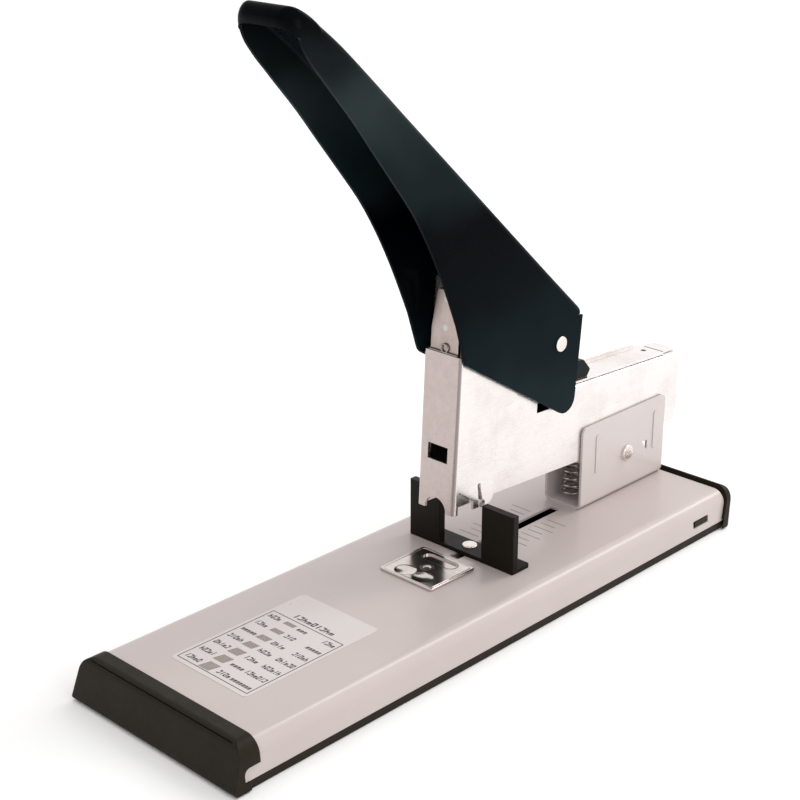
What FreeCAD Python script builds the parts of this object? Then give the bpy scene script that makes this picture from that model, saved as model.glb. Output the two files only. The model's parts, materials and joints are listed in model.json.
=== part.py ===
import FreeCAD, Part
import math
import os

# Heavy-duty long-reach desk stapler, millimetres.
# X is the width, Y runs from the front of the base (-Y) to the rear (+Y), Z is up.
# The origin is the middle of the base's underside, on the table.
# The head is drawn level and then leaned back to its resting angle about its pivot.

V = FreeCAD.Vector
os.makedirs("parts", exist_ok=True)

# ---- base ----
BASE_BOTTOM_HALF = 39.4      # half width of the cover at its lower edge
BASE_TOP_HALF = 38.2         # half width of the cover where its sides meet its top
COVER_TOP = 14.9             # height of the cover's top face
COVER_SHEET = 1.0
COVER_BEND = 5.0
COVER_LOWER_EDGE = 3.0
FRONT_JOINT_Y = -116.6       # where the front cap's lip ends on the cover
REAR_JOINT_Y = 129.0         # where the rear cap's rim starts
FRONT_TOE_Y = -128.0         # foot of the front cap's sloping face
FRONT_BROW_Y = -123.2        # top of the front cap's sloping face
REAR_HEEL_Y = 129.8          # foot of the rear cap
REAR_BROW_Y = 133.2          # top of the rear cap
TONGUE = 6.4                 # how far the cover's sides reach into the front cap
TONGUE_TOP = 7.6
FRONT_LIP = 0.7              # the front cap stands this proud of the cover
REAR_LIP = 1.2               # the rear cap stands this proud of the cover
CAP_WALL = 2.2
CAP_UNDERCUT = 0.3           # gap under the caps, so that the feet carry the base
TRAY_BOTTOM = 0.0
FOOT_SIZE = (26.0, 10.0)
FOOT_DEPTH = 1.2             # how far each foot is let into the tray
FOOT_X = 27.0
FOOT_Y = (-100.0, 104.0)
SNAP_SLOT = (10.0, 3.0)      # length and height of the snap windows in the cover's sides
SNAP_Y = 113.0
SNAP_Z = 7.2
SCREW_X = 24.0
SCREW_Y = (-84.0, 84.0)
SCREW_R = 1.5
SCREW_HEAD_R = 2.9
BOSS_R = 4.0
LABEL_HALF = 18.3
LABEL_Y = (-103.8, -44.6)
LABEL_THICK = 0.1

# ---- anvil ----
ANVIL_Y = -1.7
ANVIL_SIZE = (25.4, 23.2)
ANVIL_THICK = 1.0
ANVIL_PIN_R = 2.4
CLINCH_OFFSET = 6.75         # each clinch groove lies this far from the anvil's pivot
CLINCH_DEPTH = 0.6
CLINCH_SLOT = (15.0, 4.6)
DISH_R = 3.9
DISH_PITCH = 4.1

# ---- paper guide ----
GUIDE_Y = 15.8               # its front edge, as far forward as it goes
GUIDE_DEPTH = 9.4
GUIDE_HALF = 25.0
GUIDE_STRAP = 1.5
POST_INNER_X = 10.0
POST_THICK = 3.0
POST_TOP = 37.3
GUIDE_PIN_R = 2.15
GUIDE_PIN_BACK = 5.4         # from the guide's front edge to its rivet
GUIDE_TRAVEL = 46.0
SLOT_CLEAR = 0.1
SLIDER_SIZE = (12.0, 19.0)

# ---- bracket ----
BRACKET_Y = (75.2, 128.0)
BRACKET_TOP = 48.6
BRACKET_SHEET = 1.0
BRACKET_BEND = 2.4
BRACKET_RIVET_Y = (92.0, 120.0)
BRACKET_RIVET_R = 2.0

# ---- head, drawn level ----
PIVOT_Y = 103.3              # pivot of the head on the bracket
PIVOT_Z = 30.9
PIVOT_R = 2.2
HEAD_TILT = 3.0              # degrees that the resting head leans back
MAG_WIDTH = 15.2
MAG_SHEET = 0.8
MAG_BEND = 1.5
MAG_TOP = 65.3
MAG_BOTTOM = 34.2
MAG_FRONT = 4.3
MAG_REAR = 136.5
CHEEK_REAR = 46.7             # rear end of the magazine's raised side walls
BRACKET_GAP = 0.15           # between the magazine and each bracket wall
NOSE_FRONT = 2.0
NOSE_SHEET = 1.0
NOSE_BEND = 1.4
NOSE_FOOT = 31.8
NOSE_TOP = 90.0
NOSE_REAR = 23.3
ARCH_R = 4.9
WINDOW_HALF = 4.6
WINDOW_Z = (50.5, 56.4)
EAR_LOW = 25.6               # bottom of the ears that take the head pivot
SEAT_THICK = 1.2
SPRING_Y = 82.6
SPRING_R = 5.0
SPRING_WIRE = 1.0
SPRING_TURNS = 5.5

# ---- handle ----
LEVER_Y = 52.75              # handle pivot in the level head
LEVER_Z = 86.05
LEVER_FORM = (57.68, 88.97)  # reference point of the handle's side view
LEVER_PIN_R = 2.4
LEVER_HEAD_R = 2.9
LEVER_SHEET = 1.2
LEVER_LOW_HALF = 11.45       # half width of the handle around its pivot
LEVER_TIP_HALF = 13.4        # half width of the handle at its tip
LEVER_TIP_Y = -78.5
LEVER_TIP_Z = 225.0
LINK_HALF = 5.8
LINK_SHEET = 1.2
LINK_PIN_R = 1.5
LINK_ARM = 44.1              # from the handle pivot to the link pin
LINK_ANGLE = 20.0            # degrees that the resting link rises towards the ram
RUN_CLEAR = 0.05             # radial running clearance of pins

# ---- ram ----
RAM_FRONT = 4.15
RAM_DEPTH = 10.6
RAM_HALF = 7.5
RAM_SHEET = 1.0
RAM_Z = (96.0, 116.0)
BLADE_HALF = 6.3
BLADE_Y = (3.0, 4.1)
BLADE_Z = (62.1, 112.0)
BLADE_RIVET_Z = (99.0, 109.0)

# ---- staple rail and pusher ----
RAIL_HALF = 5.4
RAIL_TOP = 60.0
RAIL_BOTTOM = 35.4
RAIL_SHEET = 1.0
RAIL_FRONT = 4.5
BLOCK_Y = (119.0, 135.6)
BLOCK_HALF = 6.6
BLOCK_TOP = 64.2
BLOCK_NECK_TOP = 60.6        # lower front part of the block, under the latch's hook
BLOCK_STOP_Y = 128.3
ROD_R = 0.6
ROD_Z = 61.95
PUSHER_LENGTH = 14.0
PUSHER_BOTTOM = 46.0
PUSHER_TOP = 64.1
PUSHER_SKIRT = 0.8
PUSHER_GAP = 0.3             # between the pusher and the rail
COIL_R = 1.15
COIL_WIRE = 0.4
COIL_TURNS = 26

# ---- latch ----
LATCH_Y = 64.0
LATCH_Z = 67.9
LATCH_PIN_R = 1.0
LATCH_SHEET = 0.8
LATCH_LIFT_GAP = 0.2         # the resting latch bar above the magazine
LATCH_REAR = 127.6
LATCH_NOTCH = 5.2            # half width of the open notch at the rear of the magazine's top
KNOB_HALF = 4.6
LATCH_COIL_HALF = 2.3        # half length of the torsion spring on the latch pin
LATCH_COIL_R = 1.55          # to the middle of its wire
LATCH_WIRE_R = 0.25


# ---------- drawing helpers ----------

def on_xz(u, v):
    return V(u, 0, v)


def on_yz(u, v):
    return V(0, u, v)


def on_xy(u, v):
    return V(u, v, 0)


def rounded_corner(before, corner, after):
    """Start, middle and end of a corner given as (u, v, radius)."""
    u, v, radius = corner
    if radius == 0:
        return (u, v), None, (u, v)
    legs = []
    for other in (before, after):
        length = math.hypot(other[0] - u, other[1] - v)
        legs.append(((other[0] - u) / length, (other[1] - v) / length))
    dot = legs[0][0] * legs[1][0] + legs[0][1] * legs[1][1]
    half = math.acos(max(-1.0, min(1.0, dot))) / 2
    cut = radius / math.tan(half)
    across = (legs[0][0] + legs[1][0], legs[0][1] + legs[1][1])
    size = math.hypot(across[0], across[1])
    reach = radius / math.sin(half) - radius
    middle = (u + across[0] / size * reach, v + across[1] / size * reach)
    start = (u + legs[0][0] * cut, v + legs[0][1] * cut)
    stop = (u + legs[1][0] * cut, v + legs[1][1] * cut)
    return start, middle, stop


def face(corners, place):
    """Closed face through (u, v, radius) corners, with each corner rounded to its radius."""
    count = len(corners)
    bends = []
    for i in range(count):
        bends.append(rounded_corner(corners[i - 1], corners[i], corners[(i + 1) % count]))
    edges = []
    for i in range(count):
        start, middle, stop = bends[i]
        following = bends[(i + 1) % count][0]
        if middle is not None:
            edges.append(Part.Arc(place(*start), place(*middle), place(*stop)).toShape())
        if math.hypot(following[0] - stop[0], following[1] - stop[1]) > 1e-6:
            edges.append(Part.LineSegment(place(*stop), place(*following)).toShape())
    return Part.Face(Part.Wire(edges))


def along_y(corners, y0, y1):
    """Section in X and Z, carried from y0 to y1."""
    section = face(corners, on_xz)
    section.translate(V(0, y0, 0))
    return section.extrude(V(0, y1 - y0, 0))


def across_x(corners, x0, x1):
    """Side view in Y and Z, carried from x0 to x1."""
    section = face(corners, on_yz)
    section.translate(V(x0, 0, 0))
    return section.extrude(V(x1 - x0, 0, 0))


def up_z(corners, z0, z1):
    """Plan in X and Y, carried from z0 to z1."""
    section = face(corners, on_xy)
    section.translate(V(0, 0, z0))
    return section.extrude(V(0, 0, z1 - z0))


def block(x0, x1, y0, y1, z0, z1):
    return Part.makeBox(x1 - x0, y1 - y0, z1 - z0, V(x0, y0, z0))


def rod_x(radius, x0, x1, y, z):
    return Part.makeCylinder(radius, x1 - x0, V(x0, y, z), V(1, 0, 0))


def rod_y(radius, y0, y1, x, z):
    return Part.makeCylinder(radius, y1 - y0, V(x, y0, z), V(0, 1, 0))


def rod_z(radius, z0, z1, x, y):
    return Part.makeCylinder(radius, z1 - z0, V(x, y, z0), V(0, 0, 1))


def rectangle(half_u, v0, v1, radius=0.0):
    return [(-half_u, v0, radius), (half_u, v0, radius), (half_u, v1, radius), (-half_u, v1, radius)]


def channel(half, top, bottom, sheet, bend, foot_half=None):
    """Corners of an inverted U of bent sheet."""
    foot = half if foot_half is None else foot_half
    inner = max(bend - sheet, 0.0)
    return [
        (-foot, bottom, 0), (-half, top, bend), (half, top, bend), (foot, bottom, 0),
        (foot - sheet, bottom, 0), (half - sheet, top - sheet, inner),
        (-half + sheet, top - sheet, inner), (-foot + sheet, bottom, 0),
    ]


def coil(radius, wire, turns, length):
    """Round-wire coil standing on the origin, along +Z."""
    rise = length - 2 * wire
    path = Part.makeHelix(rise / turns, rise, radius)
    ring = Part.Wire(Part.makeCircle(wire, V(radius, 0, 0), V(0, 1, 0)))
    body = Part.Wire(path).makePipeShell([ring], True, True)
    body.translate(V(0, 0, wire))
    return body


def leg(start, end, radius):
    """Straight piece of round wire between two points."""
    return Part.makeCylinder(radius, (end - start).Length, start, end - start)


def joined(shapes):
    whole = shapes[0].multiFuse(shapes[1:]) if len(shapes) > 1 else shapes[0]
    return whole.removeSplitter()


def less(shape, tools):
    for tool in tools:
        shape = shape.cut(tool)
    return shape


def leaned(shape):
    """A piece of the level head, leaned back to the resting angle."""
    leant = shape.copy()
    leant.rotate(V(0, PIVOT_Y, PIVOT_Z), V(1, 0, 0), -HEAD_TILT)
    return leant


def write(node, shapes):
    """One STEP file for a node of one or more separate solids."""
    whole = shapes[0] if len(shapes) == 1 else Part.makeCompound(shapes)
    whole.exportStep("parts/" + node + ".step")


# ---------- base ----------

def cover_corners(grow, bottom):
    """The cover's outer section, grown outwards, down to a height."""
    slope = (BASE_BOTTOM_HALF - BASE_TOP_HALF) / (COVER_TOP - COVER_LOWER_EDGE)
    foot = BASE_BOTTOM_HALF + slope * (COVER_LOWER_EDGE - bottom) + grow
    top = COVER_TOP + grow
    bend = COVER_BEND + grow
    return [(-foot, bottom, 0), (-BASE_TOP_HALF - grow, top, bend), (BASE_TOP_HALF + grow, top, bend),
            (foot, bottom, 0)]


def snap_windows(deep):
    length, height = SNAP_SLOT
    side = across_x(
        [(SNAP_Y - length / 2, SNAP_Z - height / 2, 0.4), (SNAP_Y + length / 2, SNAP_Z - height / 2, 0.4),
         (SNAP_Y + length / 2, SNAP_Z + height / 2, 0.4), (SNAP_Y - length / 2, SNAP_Z + height / 2, 0.4)],
        BASE_BOTTOM_HALF - deep, BASE_BOTTOM_HALF + 1)
    return [side, side.mirror(V(0, 0, 0), V(1, 0, 0))]


def base_cover():
    shell = channel(BASE_TOP_HALF, COVER_TOP, COVER_LOWER_EDGE, COVER_SHEET, COVER_BEND, BASE_BOTTOM_HALF)
    front = FRONT_JOINT_Y - TONGUE
    body = along_y(shell, front, REAR_JOINT_Y)
    body = body.cut(across_x(
        [(front - 1, TONGUE_TOP, 0), (front + 0.01, TONGUE_TOP, 0), (FRONT_JOINT_Y - 2.4, TONGUE_TOP, 0),
         (FRONT_JOINT_Y - 2.4, COVER_TOP + 1, 0), (front - 1, COVER_TOP + 1, 0)],
        -BASE_BOTTOM_HALF - 1, BASE_BOTTOM_HALF + 1))
    slot_end = GUIDE_Y + GUIDE_PIN_BACK + GUIDE_TRAVEL + GUIDE_PIN_R + 1.4
    slot_half = GUIDE_PIN_R + SLOT_CLEAR
    cuts = snap_windows(4)
    cuts.append(up_z(rectangle(slot_half, GUIDE_Y - 3.6, slot_end, 0.6), COVER_TOP - 3, COVER_TOP + 1))
    cuts.append(rod_z(ANVIL_PIN_R + RUN_CLEAR, COVER_TOP - 3, COVER_TOP + 1, 0, ANVIL_Y))
    for y in BRACKET_RIVET_Y:
        cuts.append(rod_z(BRACKET_RIVET_R, COVER_TOP - 3, COVER_TOP + 1, 0, y))
    return less(body, cuts)


def front_end_cap():
    profile = [
        (FRONT_TOE_Y, CAP_UNDERCUT, 1.2), (FRONT_BROW_Y, COVER_TOP + FRONT_LIP, 3.2),
        (FRONT_JOINT_Y, COVER_TOP + FRONT_LIP, 0), (FRONT_JOINT_Y, CAP_UNDERCUT, 0),
    ]
    outer = along_y(cover_corners(FRONT_LIP, CAP_UNDERCUT), FRONT_TOE_Y, FRONT_JOINT_Y)
    outer = outer.common(across_x(profile, -BASE_BOTTOM_HALF - 3, BASE_BOTTOM_HALF + 3))
    pocket_y = FRONT_BROW_Y + CAP_WALL
    cuts = [along_y(cover_corners(0.0, CAP_UNDERCUT + 2.0), FRONT_JOINT_Y - TONGUE - 0.05, FRONT_JOINT_Y + 1)]
    cuts.append(along_y(cover_corners(-CAP_WALL, -1.0), pocket_y, FRONT_JOINT_Y + 1))
    cuts.append(block(-BASE_BOTTOM_HALF - 3, BASE_BOTTOM_HALF + 3, pocket_y, FRONT_JOINT_Y + 1, -1,
                      COVER_LOWER_EDGE))
    reach = FRONT_JOINT_Y - TONGUE - 0.1
    for side in (-1, 1):
        window = across_x(
            [(reach, COVER_LOWER_EDGE - 0.05, 0), (FRONT_JOINT_Y + 1, COVER_LOWER_EDGE - 0.05, 0),
             (FRONT_JOINT_Y + 1, TONGUE_TOP + 0.1, 0), (reach, TONGUE_TOP + 0.1, 2.2)],
            BASE_BOTTOM_HALF - COVER_SHEET - 3.0, BASE_BOTTOM_HALF + 3)
        cuts.append(window if side > 0 else window.mirror(V(0, 0, 0), V(1, 0, 0)))
    return less(outer, cuts)


def rear_end_cap():
    profile = [
        (REAR_JOINT_Y - 3.0, CAP_UNDERCUT, 0), (REAR_HEEL_Y, CAP_UNDERCUT, 1.0),
        (REAR_BROW_Y, COVER_TOP + REAR_LIP, 1.6), (REAR_JOINT_Y + 1.9, COVER_TOP + REAR_LIP, 0),
    ]
    outer = along_y(cover_corners(REAR_LIP, CAP_UNDERCUT), REAR_JOINT_Y - 4, REAR_BROW_Y + 1)
    outer = outer.common(across_x(profile, -BASE_BOTTOM_HALF - 4, BASE_BOTTOM_HALF + 4))
    body = outer.cut(along_y(cover_corners(0.0, COVER_LOWER_EDGE - 0.5),
                             REAR_JOINT_Y - 5, REAR_JOINT_Y + 0.02))
    body = body.cut(block(-BASE_BOTTOM_HALF - 1, BASE_BOTTOM_HALF + 1, REAR_JOINT_Y - 5, REAR_JOINT_Y, -1, 4))
    pieces = [body]
    wall = BASE_TOP_HALF - COVER_SHEET - 0.4
    for side in (-1, 1):
        low = wall - 2.0
        tongue = block(low, wall, SNAP_Y - 8, REAR_JOINT_Y + 0.5, 4.2, 9.6)
        catch = block(wall - 0.5, BASE_BOTTOM_HALF - 0.6, SNAP_Y - 3.8, SNAP_Y + 4.6,
                      SNAP_Z - SNAP_SLOT[1] / 2 + 0.3, SNAP_Z + SNAP_SLOT[1] / 2 - 0.3)
        arm = joined([tongue, catch])
        pieces.append(arm if side > 0 else arm.mirror(V(0, 0, 0), V(1, 0, 0)))
    return joined(pieces)


def boss_places():
    return [(x, y) for x in (-SCREW_X, SCREW_X) for y in SCREW_Y]


def foot_places():
    return [(x, y) for x in (-FOOT_X, FOOT_X) for y in FOOT_Y]


def foot(x, y, grow, z0, z1):
    length, width = FOOT_SIZE[0] / 2 + grow, FOOT_SIZE[1] / 2 + grow
    pad = up_z([(-width, -length, 2.0), (width, -length, 2.0), (width, length, 2.0),
                (-width, length, 2.0)], z0, z1)
    pad.translate(V(x, y, 0))
    return pad


def base_tray():
    front = FRONT_BROW_Y + CAP_WALL + 0.2
    floor = block(-BASE_BOTTOM_HALF + 0.1, BASE_BOTTOM_HALF - 0.1, front, REAR_JOINT_Y - 0.2,
                  TRAY_BOTTOM, COVER_LOWER_EDGE - 0.1)
    pieces = [floor]
    for x, y in boss_places():
        pieces.append(rod_z(BOSS_R, TRAY_BOTTOM, COVER_TOP - COVER_SHEET, x, y))
    rib_x = BASE_TOP_HALF - 9.0
    for x in (-rib_x, rib_x):
        pieces.append(block(x - 0.8, x + 0.8, FRONT_JOINT_Y + 6, SNAP_Y - 12, TRAY_BOTTOM,
                            COVER_TOP - COVER_SHEET - 0.2))
    body = joined(pieces)
    cuts = []
    for x, y in boss_places():
        cuts.append(rod_z(SCREW_R, TRAY_BOTTOM - 1, COVER_TOP - COVER_SHEET - 1.5, x, y))
        cuts.append(rod_z(SCREW_HEAD_R + 0.2, TRAY_BOTTOM - 1, TRAY_BOTTOM + 1.5, x, y))
    for x, y in foot_places():
        cuts.append(foot(x, y, 0.0, TRAY_BOTTOM - 1, TRAY_BOTTOM + FOOT_DEPTH))
    return less(body, cuts)


def rubber_feet():
    return [foot(x, y, 0.0, TRAY_BOTTOM, TRAY_BOTTOM + FOOT_DEPTH) for x, y in foot_places()]


def base_screws():
    screws = []
    for x, y in boss_places():
        head = rod_z(SCREW_HEAD_R, TRAY_BOTTOM + 0.1, TRAY_BOTTOM + 1.5, x, y)
        shank = rod_z(SCREW_R, TRAY_BOTTOM + 1.5, COVER_TOP - COVER_SHEET - 2.0, x, y)
        recess = joined([block(x - 1.7, x + 1.7, y - 0.35, y + 0.35, TRAY_BOTTOM - 1, TRAY_BOTTOM + 0.8),
                         block(x - 0.35, x + 0.35, y - 1.7, y + 1.7, TRAY_BOTTOM - 1, TRAY_BOTTOM + 0.8)])
        screws.append(joined([head, shank]).cut(recess))
    return screws


def label_sticker():
    """Printed label ahead of the anvil."""
    y0, y1 = LABEL_Y
    return up_z(rectangle(LABEL_HALF, y0, y1, 1.6), COVER_TOP, COVER_TOP + LABEL_THICK)


# ---------- anvil ----------

def anvil_plate():
    half_x, half_y = ANVIL_SIZE[0] / 2, ANVIL_SIZE[1] / 2
    top = COVER_TOP + 0.05 + ANVIL_THICK
    plate = up_z([(-half_x, ANVIL_Y - half_y, 1.2), (half_x, ANVIL_Y - half_y, 1.2),
                  (half_x, ANVIL_Y + half_y, 1.2), (-half_x, ANVIL_Y + half_y, 1.2)], COVER_TOP + 0.05, top)
    rim = [edge for edge in plate.Edges if abs(edge.BoundBox.ZMin - top) < 1e-6
                                        and abs(edge.BoundBox.ZMax - top) < 1e-6]
    plate = plate.makeFillet(0.45, rim)
    half_length, half_wide = CLINCH_SLOT[0] / 2, CLINCH_SLOT[1] / 2
    rear_y = ANVIL_Y + CLINCH_OFFSET
    slot = up_z([(-half_length, rear_y - half_wide, half_wide - 0.01),
                 (half_length, rear_y - half_wide, half_wide - 0.01),
                 (half_length, rear_y + half_wide, half_wide - 0.01),
                 (-half_length, rear_y + half_wide, half_wide - 0.01)],
                top - CLINCH_DEPTH, top + 1)
    cuts = [slot, rod_z(ANVIL_PIN_R, 0, top + 1, 0, ANVIL_Y)]
    ball = (DISH_R ** 2 + CLINCH_DEPTH ** 2) / (2 * CLINCH_DEPTH)
    for x in (-DISH_PITCH, DISH_PITCH):
        cuts.append(Part.makeSphere(ball, V(x, ANVIL_Y - CLINCH_OFFSET, top - CLINCH_DEPTH + ball)))
    return less(plate, cuts)


def anvil_pin():
    top = COVER_TOP + 0.05 + ANVIL_THICK
    under = COVER_TOP - COVER_SHEET
    shank = rod_z(ANVIL_PIN_R, under - 1.8, top, 0, ANVIL_Y)
    foot_flange = rod_z(ANVIL_PIN_R + 1.6, under - 2.6, under - 1.7, 0, ANVIL_Y)
    dimple = Part.makeCone(1.5, 1.1, 0.3, V(0, ANVIL_Y, top + 0.001), V(0, 0, -1))
    return joined([shank, foot_flange]).cut(dimple)


def anvil_washer():
    under = COVER_TOP - COVER_SHEET
    ring = rod_z(6.0, under - 1.6, under - 0.1, 0, ANVIL_Y)
    return ring.cut(rod_z(ANVIL_PIN_R + RUN_CLEAR, 0, under, 0, ANVIL_Y))


# ---------- paper guide ----------

def paper_guide():
    floor = COVER_TOP + 0.1
    top = floor + GUIDE_STRAP
    back = GUIDE_Y + GUIDE_DEPTH
    strap = up_z(rectangle(GUIDE_HALF, GUIDE_Y, back, 0.8), floor, top)
    post = up_z([(POST_INNER_X, GUIDE_Y, 0.4), (GUIDE_HALF, GUIDE_Y, 0.4),
                 (GUIDE_HALF, GUIDE_Y + POST_THICK, 0.4), (POST_INNER_X, GUIDE_Y + POST_THICK, 0.4)],
                 floor, POST_TOP)
    body = joined([strap, post, post.mirror(V(0, 0, 0), V(1, 0, 0))])
    pin_y = GUIDE_Y + GUIDE_PIN_BACK
    return less(body, [rod_z(GUIDE_PIN_R, 0, top + 1, 0, pin_y)])


def guide_rivet():
    pin_y = GUIDE_Y + GUIDE_PIN_BACK
    top = COVER_TOP + 0.1 + GUIDE_STRAP
    under = COVER_TOP - COVER_SHEET
    head = rod_z(2.8, top, top + 0.6, 0, pin_y)
    rim = [edge for edge in head.Edges if abs(edge.BoundBox.ZMin - top - 0.6) < 1e-6]
    head = head.makeFillet(0.4, rim)
    shank = rod_z(GUIDE_PIN_R, under - 2.2, top, 0, pin_y)
    peen = rod_z(GUIDE_PIN_R + 1.0, under - 2.2, under - 1.5, 0, pin_y)
    return joined([head, shank, peen])


def guide_slider():
    pin_y = GUIDE_Y + GUIDE_PIN_BACK
    under = COVER_TOP - COVER_SHEET
    half, length = SLIDER_SIZE[0] / 2, SLIDER_SIZE[1] / 2
    plate = up_z(rectangle(half, pin_y - length, pin_y + length, 1.5), under - 1.5, under - 0.15)
    return plate.cut(rod_z(GUIDE_PIN_R, 0, under, 0, pin_y))


# ---------- bracket ----------

def bracket_half():
    return MAG_WIDTH / 2 + BRACKET_GAP + BRACKET_SHEET


def support_bracket():
    half = bracket_half()
    inner = half - BRACKET_SHEET
    floor = COVER_TOP
    section = [
        (-half, BRACKET_TOP, 0), (-half, floor, BRACKET_BEND), (half, floor, BRACKET_BEND),
        (half, BRACKET_TOP, 0),
        (inner, BRACKET_TOP, 0), (inner, floor + BRACKET_SHEET, BRACKET_BEND - BRACKET_SHEET),
        (-inner, floor + BRACKET_SHEET, BRACKET_BEND - BRACKET_SHEET), (-inner, BRACKET_TOP, 0),
    ]
    body = along_y(section, BRACKET_Y[0], BRACKET_Y[1])
    side = across_x([(BRACKET_Y[0], floor - 1, 0), (BRACKET_Y[1], floor - 1, 0),
                     (BRACKET_Y[1], BRACKET_TOP, 2.5),
                     (BRACKET_Y[0], BRACKET_TOP, 2.5)], -half - 1, half + 1)
    body = body.common(side)
    ribs = []
    for y, low, high in ((84.5, 28.0, 43.7), (121.6, 27.3, 43.2)):
        for side_sign in (-1, 1):
            x = side_sign * half
            rib = across_x([(y - 1.1, low, 1.0), (y + 1.1, low, 1.0), (y + 1.1, high, 1.0),
                            (y - 1.1, high, 1.0)],
                           x - 0.35, x + 0.35)
            ribs.append(rib)
    body = joined([body] + ribs)
    cuts = [rod_x(PIVOT_R, -half - 1, half + 1, PIVOT_Y, PIVOT_Z)]
    cuts.append(across_x([(113.7, 32.2, 0.2), (117.1, 31.9, 0.2), (117.1, 27.7, 0.2)], -half - 1, half + 1))
    for y in BRACKET_RIVET_Y:
        cuts.append(rod_z(BRACKET_RIVET_R, floor - 1, floor + 3, 0, y))
    return less(body, cuts)


def bracket_rivets():
    rivets = []
    top = COVER_TOP + BRACKET_SHEET
    under = COVER_TOP - COVER_SHEET
    for y in BRACKET_RIVET_Y:
        shank = rod_z(BRACKET_RIVET_R, under, top, 0, y)
        head = rod_z(BRACKET_RIVET_R + 1.4, top, top + 0.9, 0, y)
        peen = rod_z(BRACKET_RIVET_R + 1.2, under - 0.8, under, 0, y)
        rivets.append(joined([shank, head, peen]))
    return rivets


def head_pivot_bolt():
    half = bracket_half()
    shank = rod_x(PIVOT_R, -half, half, PIVOT_Y, PIVOT_Z)
    pieces = [shank]
    for side in (-1, 1):
        x0 = half if side > 0 else -half - 1.3
        head = rod_x(3.2, x0, x0 + 1.3, PIVOT_Y, PIVOT_Z)
        outer = half + 1.3
        rim = [edge for edge in head.Edges if abs(abs(edge.BoundBox.XMin) - outer) < 1e-6
               and abs(abs(edge.BoundBox.XMax) - outer) < 1e-6]
        head = head.makeFillet(0.6, rim)
        slot = block(-half - 2, half + 2, PIVOT_Y - 4, PIVOT_Y + 4, PIVOT_Z - 0.4, PIVOT_Z + 0.4)
        slot.rotate(V(0, PIVOT_Y, PIVOT_Z), V(1, 0, 0), 8)
        slot = slot.common(block(side * (half + 0.6), side * (half + 0.6) + 3, 0, 200, 0, 60) if side > 0
                           else block(-half - 3.6, -half - 0.6, 0, 200, 0, 60))
        pieces.append(head.cut(slot))
    return joined(pieces)


def lift_spring():
    low = COVER_TOP + BRACKET_SHEET + 0.05
    lean = math.radians(HEAD_TILT)
    seat_under = MAG_BOTTOM - SEAT_THICK
    ahead = PIVOT_Y - SPRING_Y
    high = PIVOT_Z + ahead * math.sin(lean) + (seat_under - PIVOT_Z) * math.cos(lean)
    spring = coil(SPRING_R - SPRING_WIRE / 2, SPRING_WIRE / 2, SPRING_TURNS, high - low - 0.55)
    spring.translate(V(0, SPRING_Y, low))
    return spring


# ---------- head ----------

def nose_housing():
    half = MAG_WIDTH / 2 + NOSE_SHEET
    inner = half - NOSE_SHEET
    reach = LEVER_Y + 9.0
    plan = [
        (-half, reach, 0), (-half, NOSE_FRONT, NOSE_BEND), (half, NOSE_FRONT, NOSE_BEND), (half, reach, 0),
        (inner, reach, 0), (inner, NOSE_FRONT + NOSE_SHEET, NOSE_BEND - NOSE_SHEET),
        (-inner, NOSE_FRONT + NOSE_SHEET, NOSE_BEND - NOSE_SHEET), (-inner, reach, 0),
    ]
    body = up_z(plan, NOSE_FOOT, LEVER_Z + 9)
    foot_y = NOSE_FRONT + 2.4
    arm_low = MAG_TOP + 2.3
    side = [
        (NOSE_FRONT - 1, NOSE_FOOT, 0), (NOSE_REAR, NOSE_FOOT, 3.2),
        (NOSE_REAR, arm_low, 2.0), (NOSE_REAR + 7.7, arm_low, 1.0), (NOSE_REAR + 9.7, arm_low + 2.4, 1.0),
        (LEVER_Y - 9.0, LEVER_Z - 7.6, 3.0), (LEVER_Y + 7.6, LEVER_Z - 7.6, 7.0),
        (LEVER_Y + 7.6, LEVER_Z + 7.6, 7.0),
        (NOSE_REAR + 16.0, LEVER_Z + 7.6, 6.0), (NOSE_REAR + 1.0, NOSE_TOP, 3.0),
        (NOSE_FRONT - 1, NOSE_TOP, 0),
    ]
    body = body.common(across_x(side, -half - 1, half + 1))
    key_top = (NOSE_FRONT + 13.2, NOSE_FOOT + 9.2)
    key_foot = (NOSE_FRONT + 15.0, NOSE_FOOT - 1.0)
    cuts = [rod_y(ARCH_R, NOSE_FRONT - 1, NOSE_FRONT + 1.6, 0, NOSE_FOOT)]
    notch = [
        (foot_y, NOSE_FOOT - 1, 0), (foot_y, NOSE_FOOT + 8.6, 0.3), (foot_y + 8.2, NOSE_FOOT + 3.3, 0.3),
        (foot_y + 8.2, NOSE_FOOT - 1, 0),
    ]
    cuts.append(across_x(notch, inner - 0.1, half + 1))
    cuts.append(block(-WINDOW_HALF, WINDOW_HALF, NOSE_FRONT - 1, NOSE_FRONT + 1.6, WINDOW_Z[0], WINDOW_Z[1]))
    cuts.append(across_x([(key_top[0] - 0.7, key_top[1], 0.6), (key_top[0] + 0.7, key_top[1], 0.6),
                          (key_foot[0] + 1.1, key_foot[1], 0),
                          (key_foot[0] - 1.1, key_foot[1], 0)], -half - 1, half + 1))
    cuts.append(rod_x(LEVER_PIN_R, -half - 1, half + 1, LEVER_Y, LEVER_Z))
    return less(body, cuts)


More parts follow.
